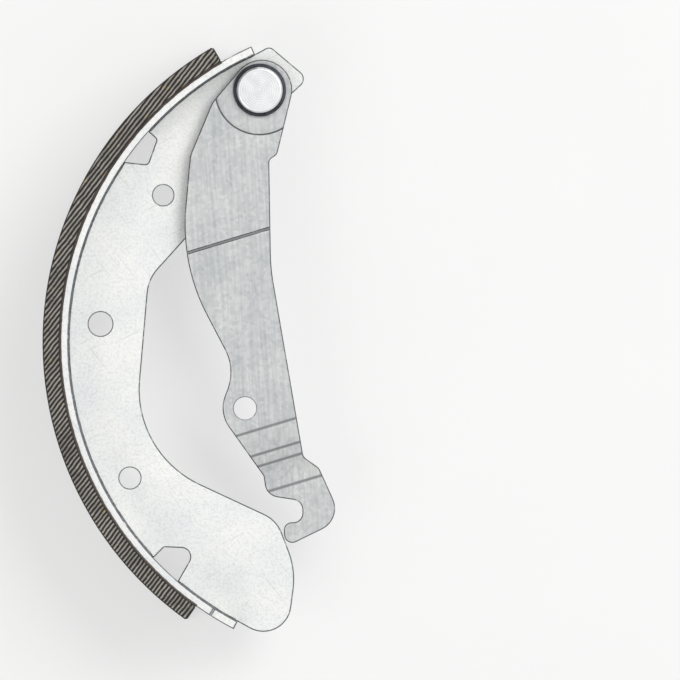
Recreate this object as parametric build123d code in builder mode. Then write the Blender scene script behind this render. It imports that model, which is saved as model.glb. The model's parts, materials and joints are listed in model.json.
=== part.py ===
from build123d import *
import os
from math import acos, cos, degrees, radians, sin, sqrt

# Rear drum brake shoe with its handbrake lever, in millimetres.
# The shoe lies on its side: the web is flat in X and Y, and +Z is the side that carries the lever.
# The origin is the centre of the hold-down hole, half way through the web.

# Shoe, from the drum inwards
drum_radius = 100.0
drum_clearance = 0.3
lining_thickness = 5.0
lining_width = 45.0
lining_edge = 0.6  # chamfer on the lining's two ends
table_thickness = 2.5
table_inset = 0.5  # each side of the table stands back this far from the lining's side
table_corner = 1.0
web_thickness = 4.5
web_edge = 0.3  # rolled edge that the blanking press leaves on the web

# Ends of the arcs, in degrees above or below the shoe's middle line
lining_top = 60.0
lining_bottom = 54.7
table_top = 66.0
table_bottom = 57.6
tongue_end = 62.5
tongue_width = 22.0

# Holes in the web: radius, angle above the middle line, depth inside the web's outer edge
hold_down_radius = 3.5
hold_down_angle = 3.66
hold_down_depth = 9.31
upper_spring_radius = 3.0
upper_spring_angle = 33.7
upper_spring_depth = 14.8
lower_spring_radius = 3.1
lower_spring_angle = -28.2
lower_spring_depth = 8.1

# Slot in the web for the end of the adjusting strut
slot_height = 4.9
slot_length = 13.5
slot_back_wall = 19.8  # web left between the slot's closed end and the table
slot_level = 53.2  # above the drum's axis
slot_lip_reach = 1.3  # how far the lip below the slot stands out past the corner above it
slot_lip_flare = 1.6  # how far the slot's lower side falls away towards the lip
slot_roof_fall = 0.4  # how far the slot's upper side comes down towards its mouth

# Lever pivot
pivot_angle = 63.84
pivot_depth = 10.09
pin_radius = 3.95
pin_hole_clearance = 0.05
pin_head_radius = 6.7
pin_head_thickness = 2.0
pin_head_chamfer = 0.5
pin_tail = 1.6  # length of pin past the retaining clip
pin_tail_chamfer = 0.6
groove_depth = 0.75
washer_radius = 7.75
washer_hole_clearance = 0.25
washer_thickness = 0.6
washer_bow = 0.6  # how far the relaxed washer is sprung out of flat
washer_bow_angle = 25.5  # direction along which the washer is bowed
washer_clearance = 0.05
clip_radius = 6.9
clip_thickness = 1.0
clip_clearance = 0.05
clip_mouth = 5.4
clip_angle = -64.5  # direction in which the clip's mouth opens

# Handbrake lever
lever_thickness = 4.0
lever_length = 130.2  # from the pivot to the middle of the hook's rounded tip
lever_edge = 0.3  # rolled edge that the blanking press leaves on the lever
lever_web_clearance = 0.1
lever_end_radius = 8.8
lever_end_offset = 0.7  # the end's arc stands this far in front of the pivot
lever_hole_radius = 3.3
lever_hole_from_tip = 37.7
lever_hole_across = -11.1
pad_radius = 12.8  # round pad pressed down around the pivot
pad_step = 1.0
pad_slope = 25.0  # how far the pad's edge leans from upright
blade_drop = 1.6  # how far the blade falls from its crease to the joggle
bend_skew = 12.6  # the bend lines are this many degrees from square to the lever
crease_at = 39.5
crease_line_width = 1.0  # a shallow groove pressed along the crease
crease_line_depth = 0.2
hook_flat = 21.0  # from the foot of the joggle to the tip
joggle_run = 10.8
joggle_radius = 23.0
crease_radius = 8.0
tip_radius = 2.4
stop_clearance = 0.3  # between the hook's tip and the toe of the web that stops it

# What follows from the sizes above
lining_radius = drum_radius - drum_clearance
table_radius = lining_radius - lining_thickness
web_radius = table_radius - table_thickness
table_width = lining_width - 2 * table_inset
hub_radius = web_radius - hold_down_depth
drum_axis = Vector(hub_radius * cos(radians(hold_down_angle)), -hub_radius * sin(radians(hold_down_angle)))


def at(angle, depth):
    """A place on the shoe, by its angle above the middle line and its depth inside the web's outer edge."""
    radius = web_radius - depth
    return drum_axis + Vector(-radius * cos(radians(angle)), radius * sin(radians(angle)))


def band(inner_radius, outer_radius, top, bottom):
    """The outline between two arcs about the drum's axis."""
    with BuildLine() as outline:
        outer = CenterArc(drum_axis, outer_radius, 180 - top, top + bottom)
        inner = CenterArc(drum_axis, inner_radius, 180 - top, top + bottom)
        Line(outer @ 0, inner @ 0)
        Line(outer @ 1, inner @ 1)
    return outline.edges()


def tangent_point(centre, radius, corner, side):
    """Where the line from an outer corner touches a circle, on the side given by +1 or -1."""
    reach = corner - centre
    turn = side * degrees(acos(radius / reach.length))
    return centre + (reach.normalized() * radius).rotate(Axis.Z, turn)


hold_down = at(hold_down_angle, hold_down_depth)
upper_spring = at(upper_spring_angle, upper_spring_depth)
lower_spring = at(lower_spring_angle, lower_spring_depth)
pivot = at(pivot_angle, pivot_depth)

# Web: a flat stamping with a nose at the top, a slot for the strut, a waist and a broad toe
slot_y = drum_axis.Y + slot_level
slot_end_x = drum_axis.X - sqrt(web_radius**2 - slot_level**2) + slot_back_wall
slot_mouth_x = slot_end_x + slot_length
toe_top = at(-59.1, 31.6)
toe_side = at(-69.05, 20.85)
web_corners = [
    # corner, radius
    (at(69.0, -0.5), 2.0),  # top of the nose
    (at(74.1, 12.1), 2.6),  # front of the nose
    (at(68.3, 15.6), 1.6),
    (at(66.4, 18.8), 1.8),
    (at(55.8, 18.2), 4.0),  # throat above the slot
    (Vector(slot_mouth_x, slot_y + slot_height / 2 - slot_roof_fall), 0.8),
    (Vector(slot_end_x, slot_y + slot_height / 2), 0.5),
    (Vector(slot_end_x, slot_y - slot_height / 2), 0.5),
    (Vector(slot_mouth_x + slot_lip_reach, slot_y - slot_height / 2 - slot_lip_flare), 1.6),  # lip below the slot
    (at(15.0, 21.2), 12.0),  # top of the waist
    (at(-24.0, 12.3), 30.5),  # bottom of the waist
    (toe_top, 10.0),
    (toe_side, 23.0),
    (at(-72.3, -1.7), 8.2),  # bottom of the toe
]
past_edge = -1.0  # both windows are open to the table, so their outlines run past the web's edge
upper_window = [
    (at(41.8, past_edge), 0),
    (at(41.8, 3.3), 0.9),
    (at(37.0, 5.9), 1.1),
    (at(34.5, past_edge), 0),
]
lower_window = [
    (at(-43.2, past_edge), 0),
    (at(-43.1, 4.4), 0.5),
    (at(-47.8, 10.7), 2.6),
    (at(-49.4, past_edge), 0),
]

with BuildPart() as web:
    with BuildSketch(Plane.XY.offset(-web_thickness / 2)):
        with BuildLine():
            back = CenterArc(drum_axis, web_radius, 180 - table_top, table_top + tongue_end)
            FilletPolyline(
                back @ 0,
                [corner for corner, radius in web_corners],
                back @ 1,
                radius=[radius for corner, radius in web_corners],
            )
        make_face()
        for window in (upper_window, lower_window):
            with BuildLine():
                FilletPolyline(
                    [corner for corner, radius in window],
                    radius=[radius for corner, radius in window],
                    close=True,
                )
            make_face(mode=Mode.SUBTRACT)
        with Locations(hold_down):
            Circle(hold_down_radius, mode=Mode.SUBTRACT)
        with Locations(upper_spring):
            Circle(upper_spring_radius, mode=Mode.SUBTRACT)
        with Locations(lower_spring):
            Circle(lower_spring_radius, mode=Mode.SUBTRACT)
        with Locations(pivot):
            Circle(pin_radius + pin_hole_clearance, mode=Mode.SUBTRACT)
    extrude(amount=web_thickness)
    web_rims = [face.outer_wire().edges() for face in web.faces().filter_by(Axis.Z)]
    chamfer(web_rims, web_edge)
web.part.label = "web"

# Table: the rolled strip that the web is welded to, with a narrower tongue past its lower end
with BuildPart() as table:
    with BuildSketch(Plane.XY.offset(-table_width / 2)):
        make_face(band(web_radius, table_radius, table_top, table_bottom))
    extrude(amount=table_width)
    with BuildSketch(Plane.XY.offset(-tongue_width / 2)):
        make_face(band(web_radius, table_radius, -table_bottom, tongue_end))
    extrude(amount=tongue_width)
    fillet(table.edges().filter_by(GeomType.LINE).filter_by(Axis.Z, reverse=True), table_corner)
table.part.label = "table"

# Lining: the friction material bonded to the table
with BuildPart() as lining:
    with BuildSketch(Plane.XY.offset(-lining_width / 2)):
        make_face(band(table_radius, lining_radius, lining_top, lining_bottom))
    extrude(amount=lining_width)
    lining_ends = lining.faces().filter_by(GeomType.PLANE).filter_by(Axis.Z, reverse=True)
    chamfer(lining_ends.edges().filter_by(Axis.Z), lining_edge)
lining.part.label = "lining"

# Lever: at rest its tip stands against the edge of the toe, which sets the lever's direction
stop_line = (toe_side - toe_top).normalized()
stop_normal = Vector(-stop_line.Y, stop_line.X)
tip_stand_off = tip_radius + stop_clearance - (pivot - toe_top).dot(stop_normal)
lever_axis = stop_normal * tip_stand_off + stop_line * sqrt(lever_length**2 - tip_stand_off**2)
lever_plane = Plane(origin=pivot, x_dir=lever_axis, z_dir=(0, 0, 1))

pad_bottom = web_thickness / 2 + lever_web_clearance
pad_top = pad_bottom + lever_thickness
blade_bottom = pad_bottom + pad_step

# Outline in the lever's plane: x runs from the pivot to the tip, y towards the front edge
hole_along = lever_length - lever_hole_from_tip
waist_along = hole_along - 11.7
end_centre = Vector(0, lever_end_offset)
back_shoulder = Vector(2.6, -14.1)
belly_start = Vector(17.6, -21.7)
notch_top = Vector(19.2, 3.7)
hook_corners = [
    # distance short of the tip, distance across, radius
    (17.5, -7.1, 2.0),  # neck
    (11.8, -6.8, 4.4),  # entry of the cable's throat
    (9.4, 3.65, 3.0),
    (3.3, 3.2, 2.7),
    (3.6, -tip_radius, 2.3),
    (-3.7, -tip_radius, tip_radius),
    (3.2, 14.9, 6.8),
    (18.8, 9.2, 3.0),
    (22.3, 4.9, 2.5),  # front of the joggle
]
lever_corners = [
    (tangent_point(end_centre, lever_end_radius, back_shoulder, -1), 0),
    (back_shoulder, 5.5),
    (belly_start, 8.0),
    (Vector((belly_start.X + waist_along) / 2, -26.9), 57.0),  # belly
    (Vector(waist_along, lever_hole_across - 2.1), 14.0),
    (Vector(hole_along + 0.7, lever_hole_across - 7.8), 9.6),  # boss round the lever's hole
    *[(Vector(lever_length - short, across), radius) for short, across, radius in hook_corners],
    (Vector(52.2, -0.5), 57.0),
    (Vector(20.6, 1.3), 1.5),  # foot of the edge that the strut bears on
    (notch_top, 2.0),
    (tangent_point(end_centre, lever_end_radius, notch_top, 1), 0),
]

# Side profile, seen along the bend lines
bend_direction = lever_plane.x_dir.rotate(Axis.Z, bend_skew)
bend_plane = Plane(origin=pivot, x_dir=bend_direction, z_dir=bend_direction.cross(Vector(0, 0, 1)))
blade_middle = blade_bottom + lever_thickness / 2
joggle_bottom = lever_length - hook_flat
joggle_top = joggle_bottom - joggle_run
crease_line_radius = (crease_line_width**2 / 4 + crease_line_depth**2) / (2 * crease_line_depth)
crease_line_z = blade_bottom + lever_thickness - crease_line_depth + crease_line_radius
profile_corners = [
    (-2 * lever_end_radius, blade_middle),
    (crease_at, blade_middle),
    (joggle_top, blade_middle - blade_drop),
    (joggle_bottom, 0),
    (lever_length + 2 * lever_end_radius, 0),
]

with BuildPart() as handbrake_lever:
    with BuildSketch(bend_plane):
        with BuildLine():
            FilletPolyline(profile_corners, radius=[crease_radius, joggle_radius, joggle_radius])
        trace(line_width=lever_thickness)
    extrude(amount=lever_length, both=True)
    with BuildSketch(lever_plane.offset(pad_bottom)):
        Circle(pad_radius)
    extrude(amount=pad_step, taper=-pad_slope)
    with BuildSketch(lever_plane.offset(pad_top)):
        Circle(pad_radius)
    extrude(amount=2 * pad_step, taper=-pad_slope, mode=Mode.SUBTRACT)
    with BuildSketch(lever_plane):
        with BuildLine():
            FilletPolyline(
                [corner for corner, radius in lever_corners],
                radius=[radius for corner, radius in lever_corners],
                close=True,
            )
        make_face()
        with Locations(end_centre):
            Circle(lever_end_radius)
    extrude(amount=lining_width, both=True, mode=Mode.INTERSECT)
    lever_sides = handbrake_lever.faces().filter_by(lambda face: abs(face.normal_at().Z) < 0.01)
    lever_rims = lever_sides.edges().filter_by(Axis.Z, reverse=True)
    # All rims are eased but the short ones where the outline crosses the pad's slope
    chamfer(lever_rims.filter_by(lambda edge: edge.length > 1.5 * pad_step), lever_edge)
    with BuildSketch(lever_plane):
        Circle(pin_radius + pin_hole_clearance)
        with Locations((hole_along, lever_hole_across)):
            Circle(lever_hole_radius)
    extrude(amount=lining_width, both=True, mode=Mode.SUBTRACT)
    with BuildSketch(bend_plane):
        with Locations((crease_at, crease_line_z)):
            Circle(crease_line_radius)
    extrude(amount=lever_length, both=True, mode=Mode.SUBTRACT)
handbrake_lever.part.label = "handbrake_lever"

# Spring washer: a plain ring sprung into a bow, between the lever's pad and the pin's head
washer_bottom = pad_top + washer_clearance
head_bottom = washer_bottom + washer_bow + washer_thickness + washer_clearance
bow_direction = Vector(1, 0, 0).rotate(Axis.Z, washer_bow_angle)
bow_plane = Plane(origin=pivot, x_dir=bow_direction, z_dir=bow_direction.cross(Vector(0, 0, 1)))

with BuildPart() as spring_washer:
    with BuildSketch(Plane(origin=pivot).offset(washer_bottom)):
        Circle(washer_radius)
        Circle(pin_radius + washer_hole_clearance, mode=Mode.SUBTRACT)
    extrude(amount=washer_bow + washer_thickness)
    with BuildSketch(bow_plane):
        with BuildLine():
            lower = ThreePointArc(
                (-washer_radius, washer_bottom),
                (0, washer_bottom + washer_bow),
                (washer_radius, washer_bottom),
            )
            upper = ThreePointArc(
                (-washer_radius, washer_bottom + washer_thickness),
                (0, washer_bottom + washer_bow + washer_thickness),
                (washer_radius, washer_bottom + washer_thickness),
            )
            Line(lower @ 0, upper @ 0)
            Line(lower @ 1, upper @ 1)
        make_face()
    extrude(amount=2 * washer_radius, both=True, mode=Mode.INTERSECT)
spring_washer.part.label = "spring_washer"

# Retaining clip: a horseshoe in the pin's groove, against the far face of the web
clip_top = -web_thickness / 2 - clip_clearance
groove_radius = pin_radius - groove_depth
clip_plane = Plane(origin=pivot, x_dir=Vector(1, 0, 0).rotate(Axis.Z, clip_angle), z_dir=(0, 0, 1))
with BuildPart() as retaining_clip:
    with BuildSketch(clip_plane.offset(clip_top - clip_thickness)):
        Circle(clip_radius)
        Circle(groove_radius + clip_clearance, mode=Mode.SUBTRACT)
        with Locations((clip_radius / 2, 0)):
            Rectangle(clip_radius, clip_mouth, mode=Mode.SUBTRACT)
    extrude(amount=clip_thickness)
retaining_clip.part.label = "retaining_clip"

# Pivot pin: turned, with a flat head over the lever and a groove beyond the web
groove_bottom = clip_top - clip_thickness - clip_clearance
pin_end = groove_bottom - pin_tail
head_top = head_bottom + pin_head_thickness
with BuildPart() as pivot_pin:
    with BuildSketch(Plane(origin=pivot, x_dir=(1, 0, 0), z_dir=(0, -1, 0))):
        with BuildLine():
            Polyline(
                (0, pin_end),
                (pin_radius - pin_tail_chamfer, pin_end),
                (pin_radius, pin_end + pin_tail_chamfer),
                (pin_radius, groove_bottom),
                (groove_radius, groove_bottom),
                (groove_radius, clip_top + clip_clearance),
                (pin_radius, clip_top + clip_clearance),
                (pin_radius, head_bottom),
                (pin_head_radius, head_bottom),
                (pin_head_radius, head_top - pin_head_chamfer),
                (pin_head_radius - pin_head_chamfer, head_top),
                (0, head_top),
                close=True,
            )
        make_face()
    revolve(axis=Axis(pivot, (0, 0, 1)))
pivot_pin.part.label = "pivot_pin"

os.makedirs("parts", exist_ok=True)
for piece in (web, table, lining, handbrake_lever, pivot_pin, spring_washer, retaining_clip):
    export_step(piece.part, f"parts/{piece.part.label}.step")
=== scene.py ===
import json
import math

import bmesh
import bpy
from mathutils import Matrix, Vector


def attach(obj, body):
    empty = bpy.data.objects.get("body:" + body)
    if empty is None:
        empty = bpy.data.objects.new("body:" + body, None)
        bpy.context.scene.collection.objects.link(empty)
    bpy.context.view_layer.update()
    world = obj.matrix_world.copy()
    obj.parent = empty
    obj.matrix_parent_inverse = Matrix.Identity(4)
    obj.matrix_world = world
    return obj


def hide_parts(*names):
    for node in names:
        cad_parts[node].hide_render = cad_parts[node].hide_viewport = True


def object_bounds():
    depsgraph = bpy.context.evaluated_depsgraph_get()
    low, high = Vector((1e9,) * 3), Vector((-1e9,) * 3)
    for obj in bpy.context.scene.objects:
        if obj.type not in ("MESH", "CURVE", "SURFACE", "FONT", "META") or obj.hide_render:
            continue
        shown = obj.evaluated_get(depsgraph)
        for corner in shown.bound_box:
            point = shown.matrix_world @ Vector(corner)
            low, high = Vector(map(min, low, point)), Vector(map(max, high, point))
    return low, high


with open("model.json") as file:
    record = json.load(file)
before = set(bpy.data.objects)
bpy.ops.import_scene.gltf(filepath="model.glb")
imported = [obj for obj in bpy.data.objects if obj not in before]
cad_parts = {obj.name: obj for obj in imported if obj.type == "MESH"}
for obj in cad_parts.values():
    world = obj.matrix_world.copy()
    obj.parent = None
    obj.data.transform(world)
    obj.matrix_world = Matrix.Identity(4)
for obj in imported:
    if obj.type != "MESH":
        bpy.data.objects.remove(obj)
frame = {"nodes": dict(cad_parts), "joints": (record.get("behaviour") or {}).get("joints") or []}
cad_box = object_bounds()

# A drum brake shoe with its handbrake lever, lying on its side and seen square to its web.

MM = 0.001
BAND = math.tau / 20  # scale of a wave texture whose bands are one metre apart

# The view: 680 by 680 pixels of this size, centred on this place of the shoe's own frame
PIXEL = 0.2924 * MM
IMAGE_WIDTH = 680
VIEW_CENTRE = Vector((70.02 * MM, -4.68 * MM, 0))
CAMERA_HEIGHT = 3.0
CAMERA_REACH = (0.01, 10.0)
FLOOR_SIZE = 4.0
FLOOR_GLOW = 0.6  # share of the floor's own white that the camera sees, which softens the shadow

# The solids' own sizes about the drum's axis. Angles are in degrees above the shoe's middle line.
DRUM_AXIS = Vector((82.7209 * MM, -5.2913 * MM, 0))
WEB_HALF = 2.25 * MM
TABLE_HALF = 22.0 * MM
TABLE_INNER = 92.2 * MM
TABLE_OUTER = 94.7 * MM
LINING_TOP = 60.0
LINING_BOTTOM = -54.7

# The weld and the adhesive are beads that lie about half sunk in the corners that they fill.
WELD_STRETCHES = ((65.5, 42.3), (33.8, -42.5), (-50.2, -62.0))
WELD_RADIUS = TABLE_INNER - 0.1 * MM
WELD_HEIGHT = WEB_HALF + 0.05 * MM
GLUE_RADIUS = TABLE_OUTER - 0.15 * MM
BEAD_WIDTH = 0.8 * MM
BEAD_STEP = 0.8 * MM
BEAD_SIDES = 10
RIPPLE_SIZE = 1.2 * MM
RIPPLE_SHARE = 0.3  # of the bead's width

# The lever: its pivot, its direction from there to its hook, and the places along it where it is bent
PIVOT = Vector(frame["joints"][0]["pos_m"])
LEVER_TILT = math.radians(-85.79)
BEND_SKEW = math.radians(12.6)  # the bend lines are this far from square to the lever
BEND_PLACES = (39.5 * MM, 94.9 * MM, 101.9 * MM, 105.3 * MM, 113.1 * MM)

# How the solids' edges are told apart and rounded
MERGE_DISTANCE = 0.001 * MM
ONE_FLAT = math.radians(0.5)
SHARP_ANGLE = math.radians(60)
CHAMFER_ANGLE = math.radians(32)
SMOOTH_ANGLE = math.radians(40)
UPRIGHT, FLAT = 0.1, 0.98  # the most that a side's normal points up, and the least that a face's does
CHAMFER_LEAN = (0.2, 0.93)  # least and most upward part of the normal of a stamping's chamfers
CORNER_LEAN = (0.35, 0.8)  # the same for the crown of the table's rounded corners
ROUNDING_STEPS = 3
WORN_AND_SHADED_SLOT = 1  # place of the material for worn edges that are also painted dark as outline shade, on a piece that has one
FACE_WEIGHT = 100  # the most that large flat faces can pull the shading their way
BREAK_LEVEL = 0.4 * MM  # the punch sheared the web cleanly above this height, and tore it below
MARK_SPACING = 1.1 * MM  # between the machining marks on the lining
MARK_SLANT = math.radians(52)  # of the grinder's marks on the lining's sides


# Colours and nodes


def linear(hex_colour):
    """An sRGB hex colour as the linear colour that a shader takes."""
    parts = [int(hex_colour[i : i + 2], 16) / 255 for i in (0, 2, 4)]
    return [p / 12.92 if p <= 0.04045 else ((p + 0.055) / 1.055) ** 2.4 for p in parts] + [1.0]


def add_node(tree, kind, inputs=None, stops=(), **settings):
    """Adds a node with its settings and links. An input takes a number, a vector, a hex colour, a socket to
    link, or a node, whose first output is then linked. Stops are the places and hex colours of a ramp."""
    node = tree.nodes.new(kind)
    for name, value in settings.items():
        setattr(node, name, value)
    for name, value in (inputs or {}).items():
        named = [socket for socket in node.inputs if socket.enabled and socket.name == name]
        socket = named[0] if named else node.inputs[name]
        if isinstance(value, bpy.types.Node):
            value = next(output for output in value.outputs if output.enabled)
        if isinstance(value, bpy.types.NodeSocket):
            tree.links.new(value, socket)
        else:
            socket.default_value = linear(value) if isinstance(value, str) else value
    for index, (place, colour) in enumerate(stops):
        elements = node.color_ramp.elements
        element = elements[index] if index < len(elements) else elements.new(place)
        element.position = place
        element.color = linear(colour)
    return node


def new_material(name, **surface):
    """A material with one shader. What is the same all over is set on the shader's own sockets."""
    material = bpy.data.materials.new(name)
    material.use_nodes = True
    shader = material.node_tree.nodes["Principled BSDF"]
    for socket, value in surface.items():
        shader.inputs[socket.replace("_", " ")].default_value = value
    return material, material.node_tree


def paint(tree, colour, roughness, relief):
    """Links the finished patterns to the shader."""
    shader = tree.nodes["Principled BSDF"]
    for name, node in (("Base Color", colour), ("Roughness", roughness), ("Normal", relief)):
        tree.links.new(next(output for output in node.outputs if output.enabled), shader.inputs[name])


# Patterns and materials


def cut_side(tree):
    """1 on the cut sides of a flat piece, and 0 on its two faces."""
    facing = add_node(tree, "ShaderNodeTexCoord").outputs["Normal"]
    upright = add_node(tree, "ShaderNodeSeparateXYZ", {"Vector": facing}).outputs["Z"]
    lean = add_node(tree, "ShaderNodeMath", {0: upright}, operation="ABSOLUTE")
    limits = {"From Min": 0.5, "From Max": 0.6, "To Min": 1.0, "To Max": 0.0}
    return add_node(tree, "ShaderNodeMapRange", {"Value": lean, **limits})


def punch_streaks(tree, place):
    """The upright streaks that a punch draws down the cut side of a stamping, drawn 0.8 mm apart, which is
    coarser than real ones, so that they show."""
    drawn = add_node(tree, "ShaderNodeMapping", {"Vector": place, "Scale": (1.0, 1.0, 0.06)})
    return add_node(tree, "ShaderNodeTexNoise", {"Vector": drawn, "Scale": 1 / (0.8 * MM), "Detail": 2.0})


def worn_and_shaded_patches(tree, place):
    """Where an edge is worn through by rubbing and painted darker as outline shade, in patches of about 2 mm.
    """
    patches = add_node(
        tree,
        "ShaderNodeTexNoise",
        {"Vector": place, "Scale": 1 / (2.2 * MM), "Detail": 3.0, "Roughness": 0.6},
    )
    return add_node(tree, "ShaderNodeMapRange", {"Value": patches, "From Min": 0.24, "From Max": 0.44})


def handling_scratches(tree, place):
    """Sparse straight scratches, two ways, about 12 mm long and drawn as wide as they need to be to show."""
    found = 0.0
    for turn in (28, -51):
        turned = add_node(
            tree,
            "ShaderNodeMapping",
            {"Vector": place, "Rotation": (0, 0, math.radians(turn))},
            vector_type="TEXTURE",
        )
        drawn = add_node(tree, "ShaderNodeMapping", {"Vector": turned, "Scale": (0.05, 1.0, 1.0)})
        lines = add_node(
            tree, "ShaderNodeTexNoise", {"Vector": drawn, "Scale": 1 / (0.6 * MM), "Detail": 0.0}
        )
        lines = add_node(tree, "ShaderNodeMapRange", {"Value": lines, "From Min": 0.76, "From Max": 0.84})
        found = add_node(tree, "ShaderNodeMath", {0: lines, 1: found}, operation="MAXIMUM")
    return found


def torn_part(tree, place, streaks):
    """1 where a punched side tore, below a ragged line about half way down it, a quarter where it sheared
    cleanly, and 0 on the faces."""
    height = add_node(tree, "ShaderNodeSeparateXYZ", {"Vector": place}).outputs["Z"]
    ragged = {"Value": streaks, "From Min": 0.3, "From Max": 0.7, "To Min": -0.6 * MM, "To Max": 0.6 * MM}
    wander = add_node(tree, "ShaderNodeMapRange", ragged)
    level = add_node(tree, "ShaderNodeMath", {0: height, 1: wander}, operation="ADD")
    limits = {"From Min": BREAK_LEVEL, "From Max": BREAK_LEVEL + 0.2 * MM, "To Min": 1.0, "To Max": 0.25}
    torn = add_node(tree, "ShaderNodeMapRange", {"Value": level, **limits})
    return add_node(tree, "ShaderNodeMath", {0: cut_side(tree), 1: torn}, operation="MULTIPLY")


def zinc_flake_coat(name, worn_and_shaded_edges=False, stamped=False):
    """Steel dipped in zinc flake and baked: a dull silver grey, cloudy where the dip has pooled, finely
    speckled and lightly scratched. The speckle is drawn coarser than the flakes, so that it shows. A stamped
    piece shows the punch's streaks on its cut sides, bright where the metal sheared and dull where it tore.
    On edges worn by rubbing, darker steel shows through in patches, and the same patches are painted shade
    that outlines the edges."""
    material, tree = new_material(name, Metallic=0.25, Specular_IOR_Level=0.35)
    place = add_node(tree, "ShaderNodeTexCoord").outputs["Object"]
    clouds = add_node(
        tree,
        "ShaderNodeTexNoise",
        {"Vector": place, "Scale": 1 / (16 * MM), "Detail": 4.0, "Roughness": 0.55},
    )
    speckle = add_node(
        tree,
        "ShaderNodeTexNoise",
        {"Vector": place, "Scale": 1 / (0.7 * MM), "Detail": 3.0, "Roughness": 0.6},
    )
    tone = add_node(
        tree,
        "ShaderNodeValToRGB",
        {"Fac": clouds},
        stops=[(0.32, "E2E4E5"), (0.5, "E9EAE9"), (0.68, "EFEFEC")],
    )
    flakes = add_node(
        tree,
        "ShaderNodeValToRGB",
        {"Fac": speckle},
        stops=[(0.34, "DEDFE1"), (0.5, "F6F6F6"), (0.66, "FFFFFF")],
    )
    coat = add_node(
        tree,
        "ShaderNodeMix",
        {"Factor": 0.6, "A": tone, "B": flakes},
        data_type="RGBA",
        blend_type="MULTIPLY",
    )
    scratches = handling_scratches(tree, place)
    faint = add_node(tree, "ShaderNodeMath", {0: scratches, 1: 0.35}, operation="MULTIPLY")
    coat = add_node(tree, "ShaderNodeMix", {"Factor": faint, "A": coat, "B": "B9BCBF"}, data_type="RGBA")
    rough = add_node(
        tree,
        "ShaderNodeMapRange",
        {"Value": speckle, "From Min": 0.3, "From Max": 0.7, "To Min": 0.46, "To Max": 0.64},
    )
    relief = add_node(tree, "ShaderNodeBump", {"Height": speckle, "Distance": 0.03 * MM})
    relief = add_node(tree, "ShaderNodeBump", {"Height": clouds, "Distance": 0.1 * MM, "Normal": relief})
    relief = add_node(
        tree, "ShaderNodeBump", {"Height": scratches, "Distance": 0.01 * MM, "Normal": relief}, invert=True
    )
    if stamped:
        streaks = punch_streaks(tree, place)
        torn = torn_part(tree, place, streaks)
        cut = add_node(
            tree, "ShaderNodeValToRGB", {"Fac": streaks}, stops=[(0.35, "BBBDBE"), (0.65, "E6E6E6")]
        )
        coat = add_node(
            tree,
            "ShaderNodeMix",
            {"Factor": torn, "A": coat, "B": cut},
            data_type="RGBA",
            blend_type="MULTIPLY",
        )
        depth = add_node(tree, "ShaderNodeMath", {0: streaks, 1: torn}, operation="MULTIPLY")
        relief = add_node(
            tree, "ShaderNodeBump", {"Height": depth, "Distance": 0.15 * MM, "Normal": relief}
        )
    if worn_and_shaded_edges:
        # Edges painted darker steel in patches: partly wear from rubbing, partly painted shade that outlines
        # them.
        bare_and_shaded = worn_and_shaded_patches(tree, place)
        coat = add_node(tree, "ShaderNodeMix", {"Factor": bare_and_shaded, "A": coat, "B": "5E6165"}, data_type="RGBA")
        rough = add_node(tree, "ShaderNodeMapRange", {"Value": bare_and_shaded, "To Min": 0.45, "To Max": 0.32})
    paint(tree, coat, rough, relief)
    return material


def bend_lines(tree, place):
    """1 on the narrow line that a bending tool has left across the lever at each bend, painted dark as the
    tool's mark and as painted shade of the bend.
    """
    across = add_node(
        tree,
        "ShaderNodeMapping",
        {"Vector": place, "Location": PIVOT, "Rotation": (0, 0, LEVER_TILT + BEND_SKEW)},
        vector_type="TEXTURE",
    )
    distance = add_node(tree, "ShaderNodeSeparateXYZ", {"Vector": across}).outputs["X"]
    pressed_mark_and_shade = 0.0
    for spot in BEND_PLACES:
        past = add_node(tree, "ShaderNodeMath", {0: distance, 1: spot}, operation="SUBTRACT")
        off = add_node(tree, "ShaderNodeMath", {0: past}, operation="ABSOLUTE")
        limits = {"From Min": 0.2 * MM, "From Max": 0.55 * MM, "To Min": 1.0, "To Max": 0.0}
        line = add_node(tree, "ShaderNodeMapRange", {"Value": off, **limits})
        pressed_mark_and_shade = add_node(tree, "ShaderNodeMath", {0: line, 1: pressed_mark_and_shade}, operation="MAXIMUM")
    return pressed_mark_and_shade


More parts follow.
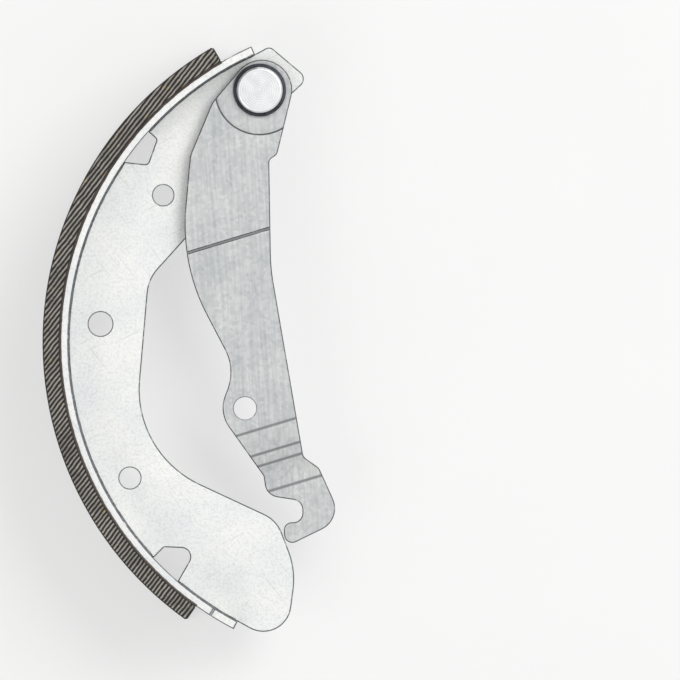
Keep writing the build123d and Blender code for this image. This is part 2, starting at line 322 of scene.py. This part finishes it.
def phosphated_steel(name, worn_and_shaded_edges=False):
    """Pressed steel with a grey phosphate skin: matt, with a fine mottle and faint rolling lines. The mottle
    is drawn at 1 mm, far coarser than the crystals, so that it shows. The bending tools have left a line at
    each bend, painted dark as the tool's mark and as painted shade of the bend. On edges worn by rubbing,
    darker steel shows through in patches, which are also painted shade that outlines the edges."""
    material, tree = new_material(name, Metallic=0.35, Specular_IOR_Level=0.35)
    place = add_node(tree, "ShaderNodeTexCoord").outputs["Object"]
    clouds = add_node(
        tree,
        "ShaderNodeTexNoise",
        {"Vector": place, "Scale": 1 / (11 * MM), "Detail": 4.0, "Roughness": 0.6},
    )
    crystals = add_node(tree, "ShaderNodeTexVoronoi", {"Vector": place, "Scale": 1 / (1.0 * MM)})
    crystal = add_node(tree, "ShaderNodeSeparateColor", {"Color": crystals.outputs["Color"]}).outputs["Red"]
    along = add_node(
        tree,
        "ShaderNodeMapping",
        {"Vector": place, "Location": PIVOT, "Rotation": (0, 0, LEVER_TILT)},
        vector_type="TEXTURE",
    )
    rolled = add_node(tree, "ShaderNodeMapping", {"Vector": along, "Scale": (0.04, 1.0, 1.0)})
    rolling = add_node(
        tree, "ShaderNodeTexNoise", {"Vector": rolled, "Scale": 1 / (0.9 * MM), "Detail": 2.0}
    )
    tone = add_node(
        tree,
        "ShaderNodeValToRGB",
        {"Fac": clouds},
        stops=[(0.3, "C2C4C5"), (0.5, "CACBCB"), (0.7, "D1D2D0")],
    )
    mottle = add_node(
        tree, "ShaderNodeValToRGB", {"Fac": crystal}, stops=[(0.0, "E8E9EA"), (1.0, "FFFFFF")]
    )
    lines = add_node(
        tree, "ShaderNodeValToRGB", {"Fac": rolling}, stops=[(0.36, "EFF0F1"), (0.6, "FFFFFF")]
    )
    side = cut_side(tree)
    streaks = punch_streaks(tree, place)
    cut = add_node(tree, "ShaderNodeValToRGB", {"Fac": streaks}, stops=[(0.35, "B4B6B7"), (0.65, "E9E9E9")])
    skin = tone
    for factor, layer in ((1.0, mottle), (1.0, lines), (side, cut)):
        skin = add_node(
            tree,
            "ShaderNodeMix",
            {"Factor": factor, "A": skin, "B": layer},
            data_type="RGBA",
            blend_type="MULTIPLY",
        )
    pressed_mark_and_shade = bend_lines(tree, place)
    # The bend lines are painted dark: partly the tool's mark, partly painted shade that stands in for the
    # bends' own shading.
    tool_mark_and_painted_shade = add_node(tree, "ShaderNodeMath", {0: pressed_mark_and_shade, 1: 0.8}, operation="MULTIPLY")
    skin = add_node(tree, "ShaderNodeMix", {"Factor": tool_mark_and_painted_shade, "A": skin, "B": "6A6C6E"}, data_type="RGBA")
    rough = add_node(tree, "ShaderNodeMapRange", {"Value": crystal, "To Min": 0.48, "To Max": 0.64})
    relief = add_node(tree, "ShaderNodeBump", {"Height": crystal, "Distance": 0.012 * MM})
    relief = add_node(tree, "ShaderNodeBump", {"Height": rolling, "Distance": 0.03 * MM, "Normal": relief})
    relief = add_node(
        tree, "ShaderNodeBump", {"Height": pressed_mark_and_shade, "Distance": 0.1 * MM, "Normal": relief}, invert=True
    )
    depth = add_node(tree, "ShaderNodeMath", {0: streaks, 1: side}, operation="MULTIPLY")
    relief = add_node(tree, "ShaderNodeBump", {"Height": depth, "Distance": 0.12 * MM, "Normal": relief})
    if worn_and_shaded_edges:
        # Edges painted darker steel in patches: partly wear from rubbing, partly painted shade that outlines
        # them.
        bare_and_shaded = worn_and_shaded_patches(tree, place)
        skin = add_node(tree, "ShaderNodeMix", {"Factor": bare_and_shaded, "A": skin, "B": "55575A"}, data_type="RGBA")
        rough = add_node(tree, "ShaderNodeMapRange", {"Value": bare_and_shaded, "To Min": 0.5, "To Max": 0.3})
    paint(tree, skin, rough, relief)
    return material


def scatter_flecks(tree, place, colour):
    """Ends of pale fibre, brass chips and pores. Each kind has cells of its own spacing, and a cell whose
    random number passes a limit holds a fleck that reaches a share of the cell, give or take."""
    for spacing, reach, limit, fleck in (
        (1.5 * MM, 0.24, 0.72, "8C867C"),
        (2.1 * MM, 0.2, 0.78, "8F7B52"),
        (1.7 * MM, 0.24, 0.7, "2A2928"),
    ):
        cells = add_node(tree, "ShaderNodeTexVoronoi", {"Vector": place, "Scale": 1 / spacing})
        random = add_node(tree, "ShaderNodeSeparateColor", {"Color": cells.outputs["Color"]}).outputs
        chosen = add_node(tree, "ShaderNodeMath", {0: random["Green"], 1: limit}, operation="GREATER_THAN")
        size = add_node(tree, "ShaderNodeMapRange", {"Value": random["Blue"], "To Min": 0.5, "To Max": 1.3})
        away = add_node(tree, "ShaderNodeMath", {0: cells.outputs["Distance"], 1: size}, operation="DIVIDE")
        edge = {"From Min": reach, "From Max": reach + 0.08, "To Min": 1.0, "To Max": 0.0}
        near = add_node(tree, "ShaderNodeMapRange", {"Value": away, **edge})
        spot = add_node(tree, "ShaderNodeMath", {0: near, 1: chosen}, operation="MULTIPLY")
        colour = add_node(
            tree, "ShaderNodeMix", {"Factor": spot, "A": colour, "B": fleck}, data_type="RGBA"
        )
    return colour


def ridge_dust(tree, ground, clouds, side):
    """How much pale dust lies on the ridges of the ground sides, more in some patches than in others."""
    ridges = add_node(tree, "ShaderNodeMapRange", {"Value": ground, "From Min": 0.5, "To Max": 0.6})
    faces = add_node(tree, "ShaderNodeMath", {0: 1.0, 1: side}, operation="SUBTRACT")
    patchy = add_node(
        tree,
        "ShaderNodeMapRange",
        {"Value": clouds, "From Min": 0.3, "From Max": 0.6, "To Min": 0.35, "To Max": 1.0},
    )
    dust = add_node(tree, "ShaderNodeMath", {0: ridges, 1: faces}, operation="MULTIPLY")
    return add_node(tree, "ShaderNodeMath", {0: dust, 1: patchy}, operation="MULTIPLY")


def friction_material(name, handled_and_shaded=False):
    """Moulded friction material: charcoal resin with pale fibre, brass chips and pores. Its sides keep the
    slanting marks of the grinder, with pale dust on their ridges, and its outer face the softer marks that
    run round the drum, both drawn far enough apart to show. Edges worn by handling have lost their dust, and
    are painted darker, partly from handling and partly as painted shade that outlines them."""
    material, tree = new_material(name, Specular_IOR_Level=0.3)
    place = add_node(tree, "ShaderNodeTexCoord").outputs["Object"]
    clouds = add_node(
        tree,
        "ShaderNodeTexNoise",
        {"Vector": place, "Scale": 1 / (5 * MM), "Detail": 4.0, "Roughness": 0.6},
    )
    grit = add_node(
        tree,
        "ShaderNodeTexNoise",
        {"Vector": place, "Scale": 1 / (0.8 * MM), "Detail": 3.0, "Roughness": 0.7},
    )
    tone = add_node(
        tree,
        "ShaderNodeValToRGB",
        {"Fac": clouds},
        stops=[(0.3, "67635F"), (0.5, "736F6A"), (0.7, "7F7A74")],
    )
    grain = add_node(tree, "ShaderNodeValToRGB", {"Fac": grit}, stops=[(0.35, "B0AEAC"), (0.65, "FFFFFF")])
    colour = add_node(
        tree,
        "ShaderNodeMix",
        {"Factor": 1.0, "A": tone, "B": grain},
        data_type="RGBA",
        blend_type="MULTIPLY",
    )
    colour = scatter_flecks(tree, place, colour)
    slanted = add_node(
        tree,
        "ShaderNodeMapping",
        {"Vector": place, "Rotation": (0, 0, MARK_SLANT)},
        vector_type="TEXTURE",
    )
    ragged = {"Scale": BAND / MARK_SPACING, "Distortion": 1.8, "Detail": 2.0, "Detail Scale": 1.0}
    ground = add_node(
        tree, "ShaderNodeTexWave", {"Vector": slanted, **ragged}, bands_direction="Y"
    ).outputs["Fac"]
    wavy = {"Scale": BAND / MARK_SPACING, "Distortion": 5.0, "Detail": 4.0, "Detail Scale": 0.6}
    turned = add_node(
        tree, "ShaderNodeTexWave", {"Vector": place, **wavy}, bands_direction="Z"
    ).outputs["Fac"]
    side = cut_side(tree)
    marks = add_node(tree, "ShaderNodeMix", {"Factor": side, "A": ground, "B": turned})
    depth = add_node(tree, "ShaderNodeMapRange", {"Value": side, "To Min": 1.0, "To Max": 0.35})
    height = add_node(tree, "ShaderNodeMath", {0: marks, 1: depth}, operation="MULTIPLY")
    shade = add_node(tree, "ShaderNodeValToRGB", {"Fac": marks}, stops=[(0.15, "646260"), (0.85, "FFFFFF")])
    colour = add_node(
        tree,
        "ShaderNodeMix",
        {"Factor": depth, "A": colour, "B": shade},
        data_type="RGBA",
        blend_type="MULTIPLY",
    )
    # Edges worn by handling are near black: partly worn, partly painted shade that outlines the lining's
    # edges.
    if handled_and_shaded:
        share, cover = 0.7, "2B2927"
    else:
        share, cover = ridge_dust(tree, ground, clouds, side), "C2BEB6"
    colour = add_node(tree, "ShaderNodeMix", {"Factor": share, "A": colour, "B": cover}, data_type="RGBA")
    rough = add_node(
        tree,
        "ShaderNodeMapRange",
        {"Value": grit, "From Min": 0.3, "From Max": 0.7, "To Min": 0.75, "To Max": 0.95},
    )
    relief = add_node(tree, "ShaderNodeBump", {"Height": grit, "Distance": 0.08 * MM})
    relief = add_node(tree, "ShaderNodeBump", {"Height": height, "Distance": 0.08 * MM, "Normal": relief})
    paint(tree, colour, rough, relief)
    return material


def bright_zinc(name):
    """A turned pin with bright zinc plate: pale, glossy metal. The lathe's faint rings on its head are drawn
    0.7 mm apart, which is coarser than real ones, so that they show."""
    material, tree = new_material(name, Metallic=1.0)
    place = add_node(tree, "ShaderNodeTexCoord").outputs["Object"]
    centred = add_node(
        tree, "ShaderNodeMapping", {"Vector": place, "Location": PIVOT}, vector_type="TEXTURE"
    )
    rings = add_node(
        tree,
        "ShaderNodeTexWave",
        {"Vector": centred, "Scale": BAND / (0.7 * MM), "Distortion": 1.5, "Detail": 2.0},
        wave_type="RINGS",
        rings_direction="Z",
    ).outputs["Fac"]
    clouds = add_node(tree, "ShaderNodeTexNoise", {"Vector": place, "Scale": 1 / (3 * MM), "Detail": 3.0})
    tone = add_node(tree, "ShaderNodeValToRGB", {"Fac": clouds}, stops=[(0.35, "DCDEE1"), (0.65, "EAEAEA")])
    turning = add_node(tree, "ShaderNodeValToRGB", {"Fac": rings}, stops=[(0.0, "F8F9FA"), (1.0, "FFFFFF")])
    tone = add_node(
        tree,
        "ShaderNodeMix",
        {"Factor": 1.0, "A": tone, "B": turning},
        data_type="RGBA",
        blend_type="MULTIPLY",
    )
    rough = add_node(tree, "ShaderNodeMapRange", {"Value": rings, "To Min": 0.26, "To Max": 0.3})
    relief = add_node(tree, "ShaderNodeBump", {"Height": rings, "Distance": 0.002 * MM})
    relief = add_node(tree, "ShaderNodeBump", {"Height": clouds, "Distance": 0.02 * MM, "Normal": relief})
    paint(tree, tone, rough, relief)
    return material


def tempered_spring_steel(name, dark, pale):
    """Spring steel, hardened, tempered and oiled: dark grey or near black, with a soft sheen. Its thin scale
    is drawn at 0.5 mm, coarse enough to show."""
    material, tree = new_material(name, Metallic=0.85)
    place = add_node(tree, "ShaderNodeTexCoord").outputs["Object"]
    clouds = add_node(tree, "ShaderNodeTexNoise", {"Vector": place, "Scale": 1 / (2.5 * MM), "Detail": 3.0})
    scale = add_node(tree, "ShaderNodeTexNoise", {"Vector": place, "Scale": 1 / (0.5 * MM), "Detail": 2.0})
    tone = add_node(tree, "ShaderNodeValToRGB", {"Fac": clouds}, stops=[(0.35, dark), (0.65, pale)])
    rough = add_node(
        tree,
        "ShaderNodeMapRange",
        {"Value": scale, "From Min": 0.3, "From Max": 0.7, "To Min": 0.3, "To Max": 0.45},
    )
    relief = add_node(tree, "ShaderNodeBump", {"Height": scale, "Distance": 0.015 * MM})
    paint(tree, tone, rough, relief)
    return material


def bonding_resin(name):
    """Phenolic adhesive squeezed out and cured in the oven: dark brown and slightly glossy."""
    material, tree = new_material(name, Specular_IOR_Level=0.5)
    place = add_node(tree, "ShaderNodeTexCoord").outputs["Object"]
    clouds = add_node(tree, "ShaderNodeTexNoise", {"Vector": place, "Scale": 1 / (1.5 * MM), "Detail": 3.0})
    tone = add_node(tree, "ShaderNodeValToRGB", {"Fac": clouds}, stops=[(0.35, "2A211C"), (0.65, "43352B")])
    rough = add_node(
        tree,
        "ShaderNodeMapRange",
        {"Value": clouds, "From Min": 0.3, "From Max": 0.7, "To Min": 0.3, "To Max": 0.5},
    )
    relief = add_node(tree, "ShaderNodeBump", {"Height": clouds, "Distance": 0.05 * MM})
    paint(tree, tone, rough, relief)
    return material


def weld_metal(name):
    """The weld's own bead: steel that ran and set in ripples, under the same coat as the web, but darker
    from the heat."""
    material, tree = new_material(name, Metallic=0.5, Specular_IOR_Level=0.4)
    place = add_node(tree, "ShaderNodeTexCoord").outputs["Object"]
    ripples = add_node(
        tree, "ShaderNodeTexNoise", {"Vector": place, "Scale": 1 / (1.0 * MM), "Detail": 3.0}
    )
    tone = add_node(
        tree, "ShaderNodeValToRGB", {"Fac": ripples}, stops=[(0.35, "4B4E51"), (0.65, "737578")]
    )
    rough = add_node(
        tree,
        "ShaderNodeMapRange",
        {"Value": ripples, "From Min": 0.3, "From Max": 0.7, "To Min": 0.35, "To Max": 0.55},
    )
    relief = add_node(tree, "ShaderNodeBump", {"Height": ripples, "Distance": 0.05 * MM})
    paint(tree, tone, rough, relief)
    return material


# Modelling


def pick_only(*objects):
    """Selects these objects alone, and makes the first the active one."""
    bpy.ops.object.select_all(action="DESELECT")
    for item in objects:
        item.select_set(True)
    bpy.context.view_layer.objects.active = objects[0]


def apply_modifiers(piece):
    pick_only(piece)
    for modifier in list(piece.modifiers):
        bpy.ops.object.modifier_apply(modifier=modifier.name)


def finish_piece(piece, body):
    """Shades a piece smooth with its flats kept flat, and puts it on the body that carries it."""
    pick_only(piece)
    bpy.ops.object.shade_smooth_by_angle(angle=SMOOTH_ANGLE)
    weighted = piece.modifiers.new("flat_faces", "WEIGHTED_NORMAL")
    weighted.mode = "FACE_AREA"
    weighted.weight = FACE_WEIGHT
    weighted.keep_sharp = True
    apply_modifiers(piece)
    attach(piece, body)


def punched_rim(edge):
    """The rim of a punched hole lies between a flat face and an upright side."""
    leans = sorted(abs(face.normal.z) for face in edge.link_faces)
    return leans[0] < UPRIGHT and leans[-1] > FLAT


def sharp_edge(edge):
    return edge.calc_face_angle(0) > SHARP_ANGLE


def chamfer_edge(edge):
    return edge.calc_face_angle(0) > CHAMFER_ANGLE


def round_edges(piece, picked, width):
    """Rounds the edges that a test picks, in the material for worn edges painted dark as outline shade, where
    the piece has one.
    """
    pick_only(piece)
    bpy.ops.object.mode_set(mode="EDIT")
    bpy.ops.mesh.select_mode(type="EDGE")
    bpy.ops.mesh.select_all(action="DESELECT")
    for edge in bmesh.from_edit_mesh(piece.data).edges:
        if picked(edge):
            edge.select_set(True)
    rounding = {"offset": width, "segments": ROUNDING_STEPS, "material": WORN_AND_SHADED_SLOT}
    bpy.ops.mesh.bevel(affect="EDGES", clamp_overlap=False, **rounding)
    bpy.ops.object.mode_set(mode="OBJECT")


def eased_copy(name, node, materials, roundings, worn_and_shaded_lean=None):
    """A merged copy of a solid, which stands in for it, with its edges rounded. Where limits are given, the
    faces that lean between them get the worn edge material too, painted dark as outline shade."""
    piece = bpy.data.objects.new(name, frame["nodes"][node].data.copy())
    bpy.context.collection.objects.link(piece)
    piece.data.materials.clear()
    for material in materials:
        piece.data.materials.append(material)
    pick_only(piece)
    bpy.ops.object.mode_set(mode="EDIT")
    bpy.ops.mesh.select_all(action="SELECT")
    bpy.ops.mesh.remove_doubles(threshold=MERGE_DISTANCE)
    bpy.ops.mesh.customdata_custom_splitnormals_clear()
    bpy.ops.mesh.dissolve_limited(angle_limit=ONE_FLAT)
    bpy.ops.object.mode_set(mode="OBJECT")
    for picked, width in roundings:
        round_edges(piece, picked, width)
    if worn_and_shaded_lean:
        least, most = worn_and_shaded_lean
        for face in piece.data.polygons:
            if least < abs(face.normal.z) < most:
                face.material_index = WORN_AND_SHADED_SLOT
    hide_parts(node)
    return piece


# Stage


def add_camera():
    """Looks straight down on the shoe as it lies, with no perspective."""
    bpy.ops.object.camera_add(location=VIEW_CENTRE + Vector((0, 0, CAMERA_HEIGHT)))
    camera = bpy.context.object
    camera.data.type = "ORTHO"
    camera.data.ortho_scale = IMAGE_WIDTH * PIXEL
    camera.data.clip_start, camera.data.clip_end = CAMERA_REACH
    bpy.context.scene.camera = camera


def seen_directly(tree):
    """1 for rays from the camera, and for those that come by a reflection or through something clear. 0 for
    the rest, which light the shoe."""
    rays = add_node(tree, "ShaderNodeLightPath").outputs
    seen = add_node(
        tree, "ShaderNodeMath", {0: rays["Is Camera Ray"], 1: rays["Is Glossy Ray"]}, operation="MAXIMUM"
    )
    return add_node(tree, "ShaderNodeMath", {0: seen, 1: rays["Is Transmission Ray"]}, operation="MAXIMUM")


def add_floor():
    """A plain pale floor at the shoe's lowest point. The camera and reflections see part of it at its own
    white, so that it looks plain and still keeps a soft shadow."""
    centre = (VIEW_CENTRE.x, VIEW_CENTRE.y, cad_box[0].z)
    bpy.ops.mesh.primitive_plane_add(size=FLOOR_SIZE, location=centre)
    floor = bpy.context.object
    floor.name = "floor"
    material, tree = new_material("matt_white_paper", Roughness=0.9, Specular_IOR_Level=0.2)
    place = add_node(tree, "ShaderNodeTexCoord").outputs["Object"]
    clouds = add_node(tree, "ShaderNodeTexNoise", {"Vector": place, "Scale": 1 / (60 * MM), "Detail": 3.0})
    tone = add_node(tree, "ShaderNodeValToRGB", {"Fac": clouds}, stops=[(0.3, "F3F3F2"), (0.7, "F6F6F5")])
    shader = tree.nodes["Principled BSDF"]
    tree.links.new(tone.outputs["Color"], shader.inputs["Base Color"])
    share = add_node(tree, "ShaderNodeMath", {0: seen_directly(tree), 1: FLOOR_GLOW}, operation="MULTIPLY")
    glow = add_node(tree, "ShaderNodeEmission", {"Color": "F9F9F9", "Strength": 1.0})
    lit = add_node(tree, "ShaderNodeMixShader", {0: share, 1: shader, 2: glow})
    tree.links.new(lit.outputs["Shader"], tree.nodes["Material Output"].inputs["Surface"])
    floor.data.materials.append(material)


def add_softbox(name, place, size, power):
    """A square lamp, aimed at the middle of the shoe."""
    bpy.ops.object.light_add(type="AREA", location=place)
    lamp = bpy.context.object
    lamp.name = name
    lamp.data.size = size
    lamp.data.energy = power
    lamp.visible_camera = False
    middle = (cad_box[0] + cad_box[1]) / 2
    lamp.rotation_euler = (middle - Vector(place)).to_track_quat("-Z", "Y").to_euler()


def light_scene():
    """Two soft lamps from opposite sides, and an even white fill. The camera and reflections see a brighter
    backdrop in place of the fill."""
    world = bpy.data.worlds.new("pale_studio")
    bpy.context.scene.world = world
    world.use_nodes = True
    tree = world.node_tree
    tree.nodes.clear()
    fill = add_node(tree, "ShaderNodeBackground", {"Color": "FFFFFF", "Strength": 0.5})
    backdrop = add_node(tree, "ShaderNodeBackground", {"Color": "F8F8F7", "Strength": 1.0})
    mixed = add_node(tree, "ShaderNodeMixShader", {0: seen_directly(tree), 1: fill, 2: backdrop})
    add_node(tree, "ShaderNodeOutputWorld", {"Surface": mixed})
    add_softbox("key_softbox", place=(0.75, 0.62, 1.35), size=0.9, power=14.5)
    add_softbox("fill_softbox", place=(-0.8, -0.6, 1.3), size=1.0, power=5.0)


# Seams


def add_bead(radius, height, top, bottom):
    """A bead laid along an arc about the drum's axis, from its top angle down to its bottom one: a small
    ring, spun round and closed at both ends, with the ripple of something that ran and set."""
    outward = Vector((-math.cos(math.radians(top)), math.sin(math.radians(top)), 0))
    place = DRUM_AXIS + outward * radius + Vector((0, 0, height))
    upright = (math.pi / 2, 0, -math.radians(top))
    ring = {"vertices": BEAD_SIDES, "radius": BEAD_WIDTH / 2}
    bpy.ops.object.select_all(action="DESELECT")
    bpy.ops.mesh.primitive_circle_add(location=place, rotation=upright, **ring)
    bead = bpy.context.object
    bpy.ops.object.transform_apply(location=True, rotation=True, scale=True)
    bpy.ops.object.mode_set(mode="EDIT")
    bpy.ops.mesh.select_all(action="SELECT")
    sweep = math.radians(top - bottom)
    steps = round(sweep * radius / BEAD_STEP)
    bpy.ops.mesh.spin(steps=steps, angle=sweep, center=DRUM_AXIS, axis=(0, 0, -1))
    bpy.ops.mesh.select_all(action="SELECT")
    bpy.ops.mesh.remove_doubles(threshold=MERGE_DISTANCE)
    bpy.ops.mesh.fill_holes(sides=BEAD_SIDES)
    bpy.ops.mesh.normals_make_consistent(inside=False)
    bpy.ops.object.mode_set(mode="OBJECT")
    ripple = bead.modifiers.new("ripple", "DISPLACE")
    ripple.texture = bpy.data.textures["ripple"]
    ripple.texture_coords = "LOCAL"
    ripple.strength = BEAD_WIDTH * RIPPLE_SHARE
    apply_modifiers(bead)
    return bead


def join_beads(name, beads, material):
    """Makes one finished piece of several beads."""
    pick_only(*beads)
    bpy.ops.object.join()
    piece = bpy.context.object
    piece.name = name
    piece.data.materials.append(material)
    finish_piece(piece, "shoe")


def add_seams(weld_steel, resin):
    """The laser weld between web and table, broken off at the two windows, and the adhesive squeezed out
    between table and lining. Both show on either side of the shoe."""
    texture = bpy.data.textures.new("ripple", "CLOUDS")
    texture.noise_scale = RIPPLE_SIZE
    welds = []
    glue = []
    for side in (1, -1):
        for top, bottom in WELD_STRETCHES:
            welds.append(add_bead(WELD_RADIUS, side * WELD_HEIGHT, top, bottom))
        glue.append(add_bead(GLUE_RADIUS, side * TABLE_HALF, LINING_TOP, LINING_BOTTOM))
    join_beads("weld_seam", welds, weld_steel)
    join_beads("bonding_line", glue, resin)


# The whole scene

add_camera()
light_scene()
add_floor()

web_coat = zinc_flake_coat("zinc_flake_coat_stamped", stamped=True)
web_worn_and_shaded = zinc_flake_coat("zinc_flake_coat_stamped_worn_and_shaded_edges", stamped=True, worn_and_shaded_edges=True)
table_coat = zinc_flake_coat("zinc_flake_coat")
table_worn_and_shaded = zinc_flake_coat("zinc_flake_coat_worn_and_shaded_edges", worn_and_shaded_edges=True)
lever_skin = phosphated_steel("phosphated_steel")
lever_worn_and_shaded = phosphated_steel("phosphated_steel_worn_and_shaded_edges", worn_and_shaded_edges=True)
lining_ground = friction_material("friction_material")
lining_handled_and_shaded = friction_material("friction_material_handled_and_shaded_edges", handled_and_shaded=True)
pin_plate = bright_zinc("bright_zinc_plate")
washer_steel = tempered_spring_steel("tempered_spring_steel", dark="2B2C30", pale="3C3E44")
clip_steel = tempered_spring_steel("oiled_spring_steel", dark="3E3F41", pale="55575A")

# Each piece: its materials, then the edges that are rounded and how wide, then what else is worn and painted
# dark as outline shade
web_coats = (web_coat, web_worn_and_shaded)
web_edges = ((punched_rim, 0.3 * MM), (chamfer_edge, 0.05 * MM))
web = eased_copy("shoe_web", "web", web_coats, web_edges, CHAMFER_LEAN)
table_coats = (table_coat, table_worn_and_shaded)
table = eased_copy("shoe_table", "table", table_coats, ((sharp_edge, 0.3 * MM),), CORNER_LEAN)
lining_faces = (lining_ground, lining_handled_and_shaded)
lining = eased_copy("shoe_lining", "lining", lining_faces, ((sharp_edge, 0.35 * MM),))
lever_skins = (lever_skin, lever_worn_and_shaded)
lever_edges = ((punched_rim, 0.2 * MM),)
lever = eased_copy("lever_stamping", "handbrake_lever", lever_skins, lever_edges, CHAMFER_LEAN)
pin = eased_copy("headed_pin", "pivot_pin", (pin_plate,), ((chamfer_edge, 0.15 * MM),))
washer = eased_copy("bowed_washer", "spring_washer", (washer_steel,), ((sharp_edge, 0.05 * MM),))
clip = eased_copy("horseshoe_clip", "retaining_clip", (clip_steel,), ((sharp_edge, 0.12 * MM),))

for piece in (web, table):
    finish_piece(piece, "shoe")
finish_piece(lining, "shoe")
finish_piece(lever, "lever")
finish_piece(pin, "shoe")
for piece in (washer, clip):
    finish_piece(piece, "shoe")
add_seams(weld_metal("coated_weld_metal"), bonding_resin("bonding_resin"))

bpy.context.scene.view_settings.view_transform = "Standard"
